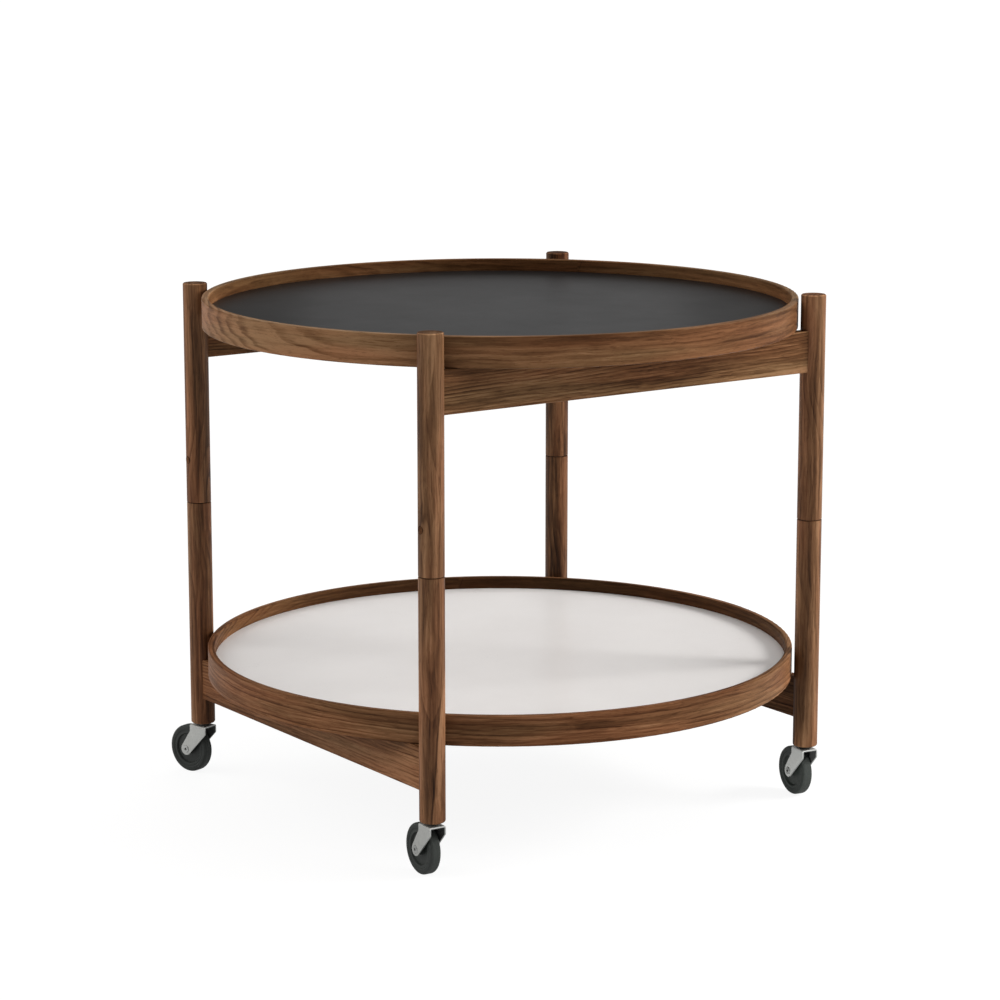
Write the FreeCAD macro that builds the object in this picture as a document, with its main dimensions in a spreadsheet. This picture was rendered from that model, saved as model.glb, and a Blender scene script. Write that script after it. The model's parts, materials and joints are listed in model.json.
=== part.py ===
import FreeCAD, Part
import Sketcher
import math
import os

# Round two-tier tray table on casters: a folding frame of two upper and two
# lower side frames, pinned together on the axes of its four split legs, and
# two loose reversible trays that rest on the rails.
#
# Frame: origin on the floor, midway between the legs, +Z up. The upper rails
# run along X at the front (-Y) and back (+Y), the lower rails along Y at the
# left (-X) and right (+X).

doc = FreeCAD.newDocument("tray_table")

# ---------------------------------------------------------------------------
# Driving dimensions, in millimetres and degrees
# ---------------------------------------------------------------------------

DIMENSIONS = [
    # frame
    ("leg_span_x", 459.0, "leg axis to leg axis along the upper rails"),
    ("leg_span_y", 432.0, "leg axis to leg axis along the lower rails"),
    ("leg_diameter", 25.0, "round leg"),
    ("leg_top", 520.0, "height of the leg tops"),
    ("leg_foot", 55.7, "height of the leg bottoms, above the casters"),
    ("seam_height", 292.0, "middle of the seam between the leg halves"),
    ("seam_gap", 0.8, "open width of the seam"),
    ("leg_top_chamfer", 1.0, "broken edge at the leg top"),
    ("leg_foot_round", 2.0, "rounded edge at the leg bottom"),
    ("seam_chamfer", 0.35, "broken edges at the seam"),
    ("rail_thickness", 12.0, "rail board thickness"),
    ("rail_depth", 41.8, "rail board height"),
    ("rail_round", 1.0, "eased rail edges"),
    ("rail_end_gap", 0.05, "glue line between rail end and leg"),
    ("rail_end_lap", 2.2, "rail board past the nearest point of the leg, before its ends are hollowed"),
    ("upper_rail_top", 484.4, "top edge of the upper rails"),
    ("lower_rail_top", 125.5, "top edge of the lower rails"),
    ("dowel_diameter", 8.0, "rail dowels"),
    ("dowel_in_rail", 18.0, "dowel length inside the rail"),
    ("dowel_in_leg", 9.5, "dowel length inside the leg"),
    ("dowel_offset", 10.5, "dowels above and below the rail's middle"),
    ("glue_gap", 0.05, "radial clearance of glued and pressed pieces"),
    # leg pivots
    ("pin_diameter", 8.0, "steel pivot pin"),
    ("pin_above", 55.0, "pin length above the seam"),
    ("pin_below", 44.0, "pin length below the seam"),
    ("pin_running", 0.05, "radial running clearance of the pin in its bush"),
    ("bush_diameter", 12.0, "pivot bush, outside"),
    ("bush_length", 40.0, "pivot bush"),
    ("washer_diameter", 20.0, "seam washer, outside"),
    ("washer_bore", 8.7, "seam washer, inside"),
    ("washer_thickness", 0.7, "seam washer"),
    ("plug_diameter", 8.0, "plug over the locking screw"),
    ("plug_above_seam", 45.0, "plug axis above the seam"),
    ("plug_seat", 8.0, "plug bottom, from the leg axis"),
    ("plug_dome", 12.9, "top of the domed plug, from the leg axis"),
    ("screw_diameter", 6.0, "locking screw"),
    # trays
    ("tray_diameter", 600.0, "tray rim, outside"),
    ("rim_thickness", 7.0, "bent rim"),
    ("rim_height", 30.0, "bent rim"),
    ("rim_round", 1.4, "eased rim edges"),
    ("groove_depth", 3.0, "panel groove in the rim"),
    ("core_thickness", 2.8, "tray core board"),
    ("laminate_thickness", 0.6, "tray surface laminate"),
    ("laminate_gap", 0.1, "laminate edge to rim"),
    ("seat_gap", 0.05, "tray rim above the rails"),
    # casters
    ("wheel_diameter", 50.0, "tyre, outside"),
    ("wheel_width", 11.0, "tyre"),
    ("tyre_bore", 38.0, "tyre, inside"),
    ("tyre_round", 2.6, "tyre shoulders"),
    ("hub_width", 10.2, "hub rim"),
    ("hub_rim_bore", 32.0, "inside of the hub rim"),
    ("hub_web", 6.4, "hub web thickness"),
    ("hub_boss_diameter", 11.0, "hub boss"),
    ("hub_boss_width", 13.4, "hub boss"),
    ("axle_diameter", 5.0, "rivet axle"),
    ("axle_running", 0.06, "radial running clearance of hub on axle"),
    ("axle_head_diameter", 7.8, "rivet head"),
    ("axle_head_height", 0.7, "rivet head"),
    ("axle_dimple_diameter", 3.0, "hollow end of the rivet"),
    ("axle_dimple_depth", 1.6, "hollow end of the rivet"),
    ("caster_trail", 17.4, "axle behind the swivel axis"),
    ("fork_width", 17.6, "fork, outside"),
    ("fork_sheet", 1.7, "fork sheet"),
    ("fork_top", 52.7, "top of the fork"),
    ("fork_front", 10.0, "fork top plate ahead of the swivel axis"),
    ("fork_rear", 11.3, "fork top plate behind the swivel axis"),
    ("fork_bend_front", 44.4, "where the front edge of a cheek turns back"),
    ("fork_bend_rear", 45.6, "where the rear edge of a cheek turns back"),
    ("fork_eye_radius", 6.4, "rounded end of a cheek, around the axle"),
    ("fork_corner_round", 3.0, "rounding where a cheek turns back"),
    ("fork_bend_round", 1.6, "outside of the fork's folded edges"),
    ("stem_diameter", 8.0, "caster stem"),
    ("stem_top", 82.0, "top of the stem"),
    ("stem_collar_diameter", 12.6, "shoulder on the fork"),
    ("stem_collar_top", 54.6, "top of that shoulder"),
    ("stem_head_diameter", 11.0, "riveted head under the fork plate"),
    ("stem_head_height", 1.1, "riveted head under the fork plate"),
    ("stem_running", 0.06, "radial running clearance of stem in sleeve"),
    ("sleeve_diameter", 11.0, "caster socket, outside"),
    ("sleeve_flange_diameter", 15.0, "caster socket flange"),
    ("sleeve_flange_height", 1.0, "caster socket flange"),
    ("sleeve_depth", 29.5, "caster socket inside the leg"),
    ("swivel_front_left", -3.7, "caster heading at rest"),
    ("swivel_front_right", -8.6, "caster heading at rest"),
    ("swivel_back_left", 17.9, "caster heading at rest"),
    ("swivel_back_right", -6.0, "caster heading at rest"),
]

sheet = doc.addObject("Spreadsheet::Sheet", "Dims")
VALUES = {}
for row, (alias, value, note) in enumerate(DIMENSIONS, start=1):
    sheet.set("A%d" % row, note)
    sheet.set("B%d" % row, str(value))
    sheet.setAlias("B%d" % row, alias)
    VALUES[alias] = value
doc.recompute()


class Size:
    """A length with the sheet formula that it comes from."""

    def __init__(self, value, formula):
        self.value = float(value)
        self.formula = formula

    @staticmethod
    def of(other):
        if isinstance(other, Size):
            return other
        return Size(other, "%r" % float(other))

    def __add__(self, other):
        other = Size.of(other)
        return Size(self.value + other.value, "(%s + %s)" % (self.formula, other.formula))

    def __radd__(self, other):
        return Size.of(other) + self

    def __sub__(self, other):
        other = Size.of(other)
        return Size(self.value - other.value, "(%s - %s)" % (self.formula, other.formula))

    def __rsub__(self, other):
        return Size.of(other) - self

    def __mul__(self, other):
        other = Size.of(other)
        return Size(self.value * other.value, "(%s * %s)" % (self.formula, other.formula))

    def __rmul__(self, other):
        return Size.of(other) * self

    def __truediv__(self, other):
        other = Size.of(other)
        return Size(self.value / other.value, "(%s / %s)" % (self.formula, other.formula))

    def __neg__(self):
        return Size(-self.value, "(0 - %s)" % self.formula)


def dim(alias):
    return Size(VALUES[alias], "Dims." + alias)


ZERO = Size(0.0, "0")

# ---------------------------------------------------------------------------
# Building blocks
# ---------------------------------------------------------------------------

NODES = []          # every finished sub-part, in order
SOLIDS = {}         # how many separate solids each one holds


def finished(obj, label, solids=1):
    obj.Label = label
    NODES.append(obj)
    SOLIDS[label] = solids
    return obj


def bind(obj, path, size):
    size = Size.of(size)
    obj.setExpression(path, size.formula)


def place(obj, x=ZERO, y=ZERO, z=ZERO, rotation=None):
    x, y, z = Size.of(x), Size.of(y), Size.of(z)
    obj.Placement = FreeCAD.Placement(
        FreeCAD.Vector(x.value, y.value, z.value), rotation or FreeCAD.Rotation())
    bind(obj, "Placement.Base.x", x)
    bind(obj, "Placement.Base.y", y)
    bind(obj, "Placement.Base.z", z)


def turned(degrees):
    return FreeCAD.Rotation(FreeCAD.Vector(0, 0, 1), degrees)


def new_body(name):
    return doc.addObject("PartDesign::Body", name)


def new_sketch(body, name, role, x=None, y=None, z=None):
    """Sketch on one of the body's own origin planes, moved in that plane's axes."""
    sketch = body.newObject("Sketcher::SketchObject", name)
    plane = [f for f in body.Origin.OriginFeatures if f.Role == role][0]
    sketch.AttachmentSupport = [(plane, "")]
    sketch.MapMode = "FlatFace"
    moved = [Size.of(v) if v is not None else ZERO for v in (x, y, z)]
    sketch.AttachmentOffset = FreeCAD.Placement(
        FreeCAD.Vector(*[m.value for m in moved]), FreeCAD.Rotation())
    for axis, given, size in zip("xyz", (x, y, z), moved):
        if given is not None:
            sketch.setExpression("AttachmentOffset.Base." + axis, size.formula)
    return sketch


def pin_point(sketch, geo, pos, a, b):
    """Fix a point of the sketch at (a, b) from the sketch's origin."""
    for kind, size, axis in (("DistanceX", a, -2), ("DistanceY", b, -1)):
        size = Size.of(size)
        if abs(size.value) < 1e-9:
            sketch.addConstraint(Sketcher.Constraint("PointOnObject", geo, pos, axis))
        else:
            index = sketch.addConstraint(
                Sketcher.Constraint(kind, -1, 1, geo, pos, size.value))
            sketch.setExpression("Constraints[%d]" % index, size.formula)


def outline(sketch, points):
    """Closed outline through the points, each held by its two distances."""
    points = [(Size.of(a), Size.of(b)) for a, b in points]
    first = len(sketch.Geometry)
    count = len(points)
    for i in range(count):
        a, b = points[i], points[(i + 1) % count]
        sketch.addGeometry(Part.LineSegment(
            FreeCAD.Vector(a[0].value, a[1].value, 0),
            FreeCAD.Vector(b[0].value, b[1].value, 0)), False)
    for i in range(count):
        sketch.addConstraint(Sketcher.Constraint(
            "Coincident", first + i, 2, first + (i + 1) % count, 1))
    for i in range(count):
        pin_point(sketch, first + i, 1, points[i][0], points[i][1])


def ring(sketch, a, b, radius):
    """Circle of the given radius with its centre at (a, b)."""
    a, b, radius = Size.of(a), Size.of(b), Size.of(radius)
    geo = sketch.addGeometry(Part.Circle(
        FreeCAD.Vector(a.value, b.value, 0), FreeCAD.Vector(0, 0, 1), radius.value), False)
    index = sketch.addConstraint(Sketcher.Constraint("Radius", geo, radius.value))
    sketch.setExpression("Constraints[%d]" % index, radius.formula)
    if abs(a.value) < 1e-9 and abs(b.value) < 1e-9:
        sketch.addConstraint(Sketcher.Constraint("Coincident", geo, 3, -1, 1))
    else:
        pin_point(sketch, geo, 3, a, b)


def revolve(body, sketch, axis):
    feature = body.newObject("PartDesign::Revolution", body.Name + "_turn")
    feature.Profile = sketch
    feature.ReferenceAxis = (sketch, [axis])
    feature.Angle = 360.0
    sketch.Visibility = False
    doc.recompute()
    return feature


def pad(body, sketch, length):
    feature = body.newObject("PartDesign::Pad", body.Name + "_pad")
    feature.Profile = sketch
    feature.Length = Size.of(length).value
    bind(feature, "Length", length)
    doc.recompute()
    return feature


def pocket(body, sketch, length, along_normal):
    """Cut from the sketch plane; along_normal says which way. The solid must get smaller."""
    doc.recompute()
    before = body.Shape.Volume
    feature = body.newObject("PartDesign::Pocket", body.Name + "_cut")
    feature.Profile = sketch
    feature.Length = Size.of(length).value
    bind(feature, "Length", length)
    feature.Reversed = along_normal
    doc.recompute()
    if not before - body.Shape.Volume > 1.0:
        raise RuntimeError("nothing was cut from " + body.Name)
    return feature


def round_edges(body, feature, radius, wanted):
    """Round those edges of the feature for which wanted(edge) holds."""
    names = ["Edge%d" % (i + 1) for i, e in enumerate(feature.Shape.Edges) if wanted(e)]
    if not names:
        raise RuntimeError("no edge to round on " + body.Name)
    rounding = body.newObject("PartDesign::Fillet", body.Name + "_round")
    rounding.Base = (feature, names)
    rounding.Radius = Size.of(radius).value
    bind(rounding, "Radius", radius)
    doc.recompute()
    return rounding


def is_circle(edge, radius, z=None):
    curve = edge.Curve
    if not isinstance(curve, Part.Circle):
        return False
    if abs(curve.Radius - radius) > 1e-4:
        return False
    return z is None or abs(curve.Center.z - z) < 1e-4


def cylinder(name, radius, height):
    obj = doc.addObject("Part::Cylinder", name)
    bind(obj, "Radius", radius)
    bind(obj, "Height", height)
    return obj


def group(name, members):
    """Several separate solids of one kind in one sub-part."""
    obj = doc.addObject("Part::Compound", name)
    obj.Links = members
    return finished(obj, name, len(members))


ALONG_X = FreeCAD.Rotation(FreeCAD.Vector(0, 1, 0), 90)       # local Z to +X
ALONG_Y = FreeCAD.Rotation(FreeCAD.Vector(1, 0, 0), -90)      # local Z to +Y

# ---------------------------------------------------------------------------
# Legs
# ---------------------------------------------------------------------------

leg_radius = dim("leg_diameter") / 2
half_x = dim("leg_span_x") / 2
half_y = dim("leg_span_y") / 2
CORNERS = {
    "front_left": (-half_x, -half_y),
    "front_right": (half_x, -half_y),
    "back_left": (-half_x, half_y),
    "back_right": (half_x, half_y),
}

seam_low = dim("seam_height") - dim("seam_gap") / 2
seam_high = dim("seam_height") + dim("seam_gap") / 2
upper_rail_middle = dim("upper_rail_top") - dim("rail_depth") / 2
lower_rail_middle = dim("lower_rail_top") - dim("rail_depth") / 2
plug_height = dim("seam_height") + dim("plug_above_seam")
dowel_hole = dim("dowel_diameter") / 2 + dim("glue_gap")


def dowel_holes_in_leg(body, middle):
    """Two blind holes on the side that faces the rail, which is the leg's own -X side."""
    holes = new_sketch(body, body.Name + "_dowel_holes", "YZ_Plane", z=-(leg_radius + 1))
    ring(holes, ZERO, middle - dim("dowel_offset"), dowel_hole)
    ring(holes, ZERO, middle + dim("dowel_offset"), dowel_hole)
    pocket(body, holes, dim("dowel_in_leg") + 1.5, True)


def upper_leg(corner):
    """Upper leg half with its pin hole, screw hole, plug hole and dowel holes.
    Its own +X side faces outwards along the upper rail."""
    name = "upper_leg_" + corner
    body = new_body(name)
    hole = dim("pin_diameter") / 2 + dim("glue_gap")
    hole_top = dim("seam_height") + dim("pin_above") + 1
    top_chamfer, chamfer = dim("leg_top_chamfer"), dim("seam_chamfer")
    profile = new_sketch(body, name + "_profile", "XZ_Plane")
    outline(profile, [
        (hole, seam_high),
        (leg_radius - chamfer, seam_high),
        (leg_radius, seam_high + chamfer),
        (leg_radius, dim("leg_top") - top_chamfer),
        (leg_radius - top_chamfer, dim("leg_top")),
        (ZERO, dim("leg_top")),
        (ZERO, hole_top),
        (hole, hole_top),
    ])
    revolve(body, profile, "V_Axis")
    screw = new_sketch(body, name + "_screw_hole", "YZ_Plane")
    ring(screw, ZERO, plug_height, dim("screw_diameter") / 2 + dim("glue_gap"))
    pocket(body, screw, dim("plug_seat"), True)
    plug = new_sketch(body, name + "_plug_hole", "YZ_Plane", z=dim("plug_seat") - dim("glue_gap"))
    ring(plug, ZERO, plug_height, dim("plug_diameter") / 2 + dim("glue_gap"))
    pocket(body, plug, leg_radius, True)
    dowel_holes_in_leg(body, upper_rail_middle)
    x, y = CORNERS[corner]
    place(body, x, y, ZERO, turned(180.0 if corner.endswith("left") else 0.0))
    finished(body, name)


def lower_leg(corner):
    """Lower leg half with its bush hole, caster socket hole and dowel holes.
    Its own +X side faces outwards along the lower rail."""
    name = "lower_leg_" + corner
    body = new_body(name)
    bush_hole = dim("bush_diameter") / 2 + dim("glue_gap")
    bush_bottom = dim("seam_height") - dim("pin_below") - 3
    socket_hole = dim("sleeve_diameter") / 2 + dim("glue_gap")
    socket_top = dim("leg_foot") + dim("sleeve_depth") + 0.5
    chamfer = dim("seam_chamfer")
    profile = new_sketch(body, name + "_profile", "XZ_Plane")
    outline(profile, [
        (socket_hole, dim("leg_foot")),
        (leg_radius, dim("leg_foot")),
        (leg_radius, seam_low - chamfer),
        (leg_radius - chamfer, seam_low),
        (bush_hole, seam_low),
        (bush_hole, bush_bottom),
        (ZERO, bush_bottom),
        (ZERO, socket_top),
        (socket_hole, socket_top),
    ])
    turn = revolve(body, profile, "V_Axis")
    round_edges(body, turn, dim("leg_foot_round"),
                lambda e: is_circle(e, leg_radius.value, VALUES["leg_foot"]))
    dowel_holes_in_leg(body, lower_rail_middle)
    x, y = CORNERS[corner]
    place(body, x, y, ZERO, turned(-90.0 if corner.startswith("front") else 90.0))
    finished(body, name)


for corner in CORNERS:
    upper_leg(corner)
for corner in CORNERS:
    lower_leg(corner)

# ---------------------------------------------------------------------------
# Rails and their dowels
# ---------------------------------------------------------------------------


def rail(name, span, top, x, y, degrees):
    """Board on edge between two legs, its ends hollowed to fit round them, with two dowel holes in each end."""
    body = new_body(name)
    reach = span / 2 - leg_radius
    length = 2 * (reach + dim("rail_end_lap"))
    half = dim("rail_thickness") / 2
    profile = new_sketch(body, name + "_profile", "YZ_Plane", z=-(length / 2))
    outline(profile, [
        (-half, top - dim("rail_depth")),
        (half, top - dim("rail_depth")),
        (half, top),
        (-half, top),
    ])
    board = pad(body, profile, length)
    round_edges(body, board, dim("rail_round"),
                lambda e: abs(e.Vertexes[0].X - e.Vertexes[1].X) > 100.0)
    ends = new_sketch(body, name + "_ends", "XY_Plane", z=top + 1)
    for side in (-1, 1):
        ring(ends, span / 2 * side, ZERO, leg_radius + dim("rail_end_gap"))
    pocket(body, ends, dim("rail_depth") + 2, False)
    middle = top - dim("rail_depth") / 2
    for side, direction in ((-1, True), (1, False)):
        plane = (reach + 3) * side
        holes = new_sketch(body, "%s_holes_%s" % (name, "a" if side < 0 else "b"),
                           "YZ_Plane", z=plane)
        ring(holes, ZERO, middle - dim("dowel_offset"), dowel_hole)
        ring(holes, ZERO, middle + dim("dowel_offset"), dowel_hole)
        pocket(body, holes, dim("dowel_in_rail") + 3.5, direction)
    place(body, x, y, ZERO, turned(degrees))
    finished(body, name)


rail("upper_rail_front", dim("leg_span_x"), dim("upper_rail_top"), ZERO, -half_y, 0.0)
rail("upper_rail_back", dim("leg_span_x"), dim("upper_rail_top"), ZERO, half_y, 0.0)
rail("lower_rail_left", dim("leg_span_y"), dim("lower_rail_top"), -half_x, ZERO, 90.0)
rail("lower_rail_right", dim("leg_span_y"), dim("lower_rail_top"), half_x, ZERO, 90.0)


def rail_dowels(name, along_x, offset, middle):
    """The four dowels of one side frame; offset is the rail's place across its length."""
    members = []
    length = dim("dowel_in_rail") + dim("dowel_in_leg")
    reach = (half_x if along_x else half_y) - leg_radius
    for end, start in (("a", -reach - dim("dowel_in_leg")), ("b", reach - dim("dowel_in_rail"))):
        for level, height in (("low", middle - dim("dowel_offset")),
                              ("high", middle + dim("dowel_offset"))):
            dowel = cylinder("%s_%s_%s" % (name, end, level), dim("dowel_diameter") / 2, length)
            if along_x:
                place(dowel, start, offset, height, ALONG_X)
            else:
                place(dowel, offset, start, height, ALONG_Y)
            members.append(dowel)
    group(name, members)


rail_dowels("rail_dowels_upper_front", True, -half_y, upper_rail_middle)
rail_dowels("rail_dowels_upper_back", True, half_y, upper_rail_middle)
rail_dowels("rail_dowels_lower_left", False, -half_x, lower_rail_middle)
rail_dowels("rail_dowels_lower_right", False, half_x, lower_rail_middle)

# ---------------------------------------------------------------------------
# Leg pivots: pins, locking screws and plugs above, bushes and washers below
# ---------------------------------------------------------------------------


def pivot_pins(name, corners):
    members = []
    for corner in corners:
        x, y = CORNERS[corner]
        pin = cylinder("pin_" + corner, dim("pin_diameter") / 2, dim("pin_above") + dim("pin_below"))
        place(pin, x, y, dim("seam_height") - dim("pin_below"))
        members.append(pin)
    group(name, members)


def pivot_screws(name, corners):
    """Headless screws, square against the pins, from the outer side of each leg."""
    members = []
    start = dim("pin_diameter") / 2 + 0.02
    length = dim("plug_seat") - dim("glue_gap") - start - 0.1
    for corner in corners:
        x, y = CORNERS[corner]
        screw = cylinder("screw_" + corner, dim("screw_diameter") / 2, length)
        if corner.endswith("left"):
            place(screw, x - start - length, y, plug_height, ALONG_X)
        else:
            place(screw, x + start, y, plug_height, ALONG_X)
        members.append(screw)
    group(name, members)


def pivot_plugs(name, corners):
    """Round plugs over the screws, with a low domed end."""
    members = []
    for corner in corners:
        x, y = CORNERS[corner]
        shank = cylinder("plug_shank_" + corner, dim("plug_diameter") / 2,
                         dim("plug_dome") - dim("plug_seat") + 2)
        if corner.endswith("left"):
            place(shank, x - dim("plug_dome") - 2, y, plug_height, ALONG_X)
        else:
            place(shank, x + dim("plug_seat"), y, plug_height, ALONG_X)
        dome = doc.addObject("Part::Sphere", "plug_dome_" + corner)
        bind(dome, "Radius", dim("plug_dome"))
        place(dome, x, y, plug_height)
        plug = doc.addObject("Part::Common", "plug_" + corner)
        plug.Base = shank
        plug.Tool = dome
        members.append(plug)
    group(name, members)


def pivot_bushes(name, corners):
    members = []
    for corner in corners:
        x, y = CORNERS[corner]
        outer = cylinder("bush_outer_" + corner, dim("bush_diameter") / 2, dim("bush_length"))
        inner = cylinder("bush_inner_" + corner,
                         dim("pin_diameter") / 2 + dim("pin_running"), dim("bush_length") + 2)
        place(outer, x, y, seam_low - dim("bush_length"))
        place(inner, x, y, seam_low - dim("bush_length") - 1)
        bush = doc.addObject("Part::Cut", "bush_" + corner)
        bush.Base = outer
        bush.Tool = inner
        members.append(bush)
    group(name, members)


def pivot_washers(name, corners):
    members = []
    for corner in corners:
        x, y = CORNERS[corner]
        outer = cylinder("washer_outer_" + corner, dim("washer_diameter") / 2,
                         dim("washer_thickness"))
        inner = cylinder("washer_inner_" + corner, dim("washer_bore") / 2,
                         dim("washer_thickness") + 2)
        place(outer, x, y, seam_low)
        place(inner, x, y, seam_low - 1)
        washer = doc.addObject("Part::Cut", "washer_" + corner)
        washer.Base = outer
        washer.Tool = inner
        members.append(washer)
    group(name, members)


FRONT = ("front_left", "front_right")
BACK = ("back_left", "back_right")
LEFT = ("front_left", "back_left")
RIGHT = ("front_right", "back_right")
pivot_pins("pivot_pins_front", FRONT)
pivot_pins("pivot_pins_back", BACK)
pivot_screws("pivot_screws_front", FRONT)
pivot_screws("pivot_screws_back", BACK)
pivot_plugs("pivot_plugs_front", FRONT)
pivot_plugs("pivot_plugs_back", BACK)
pivot_bushes("pivot_bushes_left", LEFT)
pivot_bushes("pivot_bushes_right", RIGHT)
pivot_washers("pivot_washers_left", LEFT)
pivot_washers("pivot_washers_right", RIGHT)

# ---------------------------------------------------------------------------
# Trays
# ---------------------------------------------------------------------------


def tray(name, rail_top, upper_face, lower_face):
    """Bent rim with a core board in its groove and a laminate on each side of the core."""
    middle = rail_top + dim("seat_gap") + dim("rim_height") / 2
    outer = dim("tray_diameter") / 2
    inner = outer - dim("rim_thickness")
    half = dim("rim_height") / 2
    core_half = dim("core_thickness") / 2
    slot = core_half + dim("glue_gap")
    rim = new_body(name + "_rim")
    profile = new_sketch(rim, name + "_rim_profile", "XZ_Plane")
    outline(profile, [
        (inner, -half),
        (outer, -half),
        (outer, half),
        (inner, half),
        (inner, slot),
        (inner + dim("groove_depth"), slot),
        (inner + dim("groove_depth"), -slot),
        (inner, -slot),
    ])
    turn = revolve(rim, profile, "V_Axis")
    round_edges(rim, turn, dim("rim_round"),
                lambda e: isinstance(e.Curve, Part.Circle)
                and abs(abs(e.Curve.Center.z) - half.value) < 1e-4)
    place(rim, ZERO, ZERO, middle)
    finished(rim, name + "_rim")

    core = cylinder(name + "_core", inner + dim("groove_depth") - dim("glue_gap"),
                    dim("core_thickness"))
    place(core, ZERO, ZERO, middle - core_half)
    finished(core, name + "_core")
    for label, z in ((upper_face, middle + core_half),
                     (lower_face, middle - core_half - dim("laminate_thickness"))):
        sheet_disc = cylinder(name + "_" + label, inner - dim("laminate_gap"),
                              dim("laminate_thickness"))
        place(sheet_disc, ZERO, ZERO, z)
        finished(sheet_disc, name + "_" + label)


tray("top_tray", dim("upper_rail_top"), "black_laminate", "white_laminate")
tray("lower_tray", dim("lower_rail_top"), "white_laminate", "black_laminate")

# ---------------------------------------------------------------------------
# Casters. In a caster's own frame the swivel axis is Z, the wheel trails
# towards +Y and the axle lies along X.
# ---------------------------------------------------------------------------

axle_height = dim("wheel_diameter") / 2


def caster_sleeve(corner):
    """Flanged socket in the leg bottom."""
    name = "caster_%s_sleeve" % corner
    body = new_body(name)
    bore = dim("stem_diameter") / 2 + dim("stem_running")
    outside = dim("sleeve_diameter") / 2
    flange = dim("sleeve_flange_diameter") / 2
    foot = dim("leg_foot")
    profile = new_sketch(body, name + "_profile", "XZ_Plane")
    outline(profile, [
        (bore, foot - dim("sleeve_flange_height")),
        (flange, foot - dim("sleeve_flange_height")),
        (flange, foot),
        (outside, foot),
        (outside, foot + dim("sleeve_depth")),
        (bore, foot + dim("sleeve_depth")),
    ])
    revolve(body, profile, "V_Axis")
    x, y = CORNERS[corner]
    place(body, x, y, ZERO)
    finished(body, name)


def caster_stem(corner):
    """Stem with a shoulder on the fork plate and a riveted head under it."""
    name = "caster_%s_stem" % corner
    body = new_body(name)
    shaft = dim("stem_diameter") / 2
    collar = dim("stem_collar_diameter") / 2
    head = dim("stem_head_diameter") / 2
    plate_bottom = dim("fork_top") - dim("fork_sheet")
    profile = new_sketch(body, name + "_profile", "XZ_Plane")
    outline(profile, [
        (ZERO, plate_bottom - dim("stem_head_height")),
        (head - 0.8, plate_bottom - dim("stem_head_height")),
        (head, plate_bottom),
        (shaft, plate_bottom),
        (shaft, dim("fork_top")),
        (collar, dim("fork_top")),
        (collar, dim("stem_collar_top") - 0.4),
        (collar - 0.4, dim("stem_collar_top")),
        (shaft, dim("stem_collar_top")),
        (shaft, dim("stem_top") - 1),
        (shaft - 1, dim("stem_top")),
        (ZERO, dim("stem_top")),
    ])
    revolve(body, profile, "V_Axis")
    x, y = CORNERS[corner]
    place(body, x, y, ZERO, turned(VALUES["swivel_" + corner]))
    finished(body, name)


def tangent_point(corner, centre, radius, side):
    """Where the line from a corner touches the circle; side is +1 left or -1 right of that line."""
    dx, dy = centre[0] - corner[0], centre[1] - corner[1]
    distance = math.hypot(dx, dy)
    length = math.sqrt(distance * distance - radius * radius)
    turn = math.asin(radius / distance) * side
    heading = math.atan2(dy, dx) + turn
    return (corner[0] + length * math.cos(heading), corner[1] + length * math.sin(heading))


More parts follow.
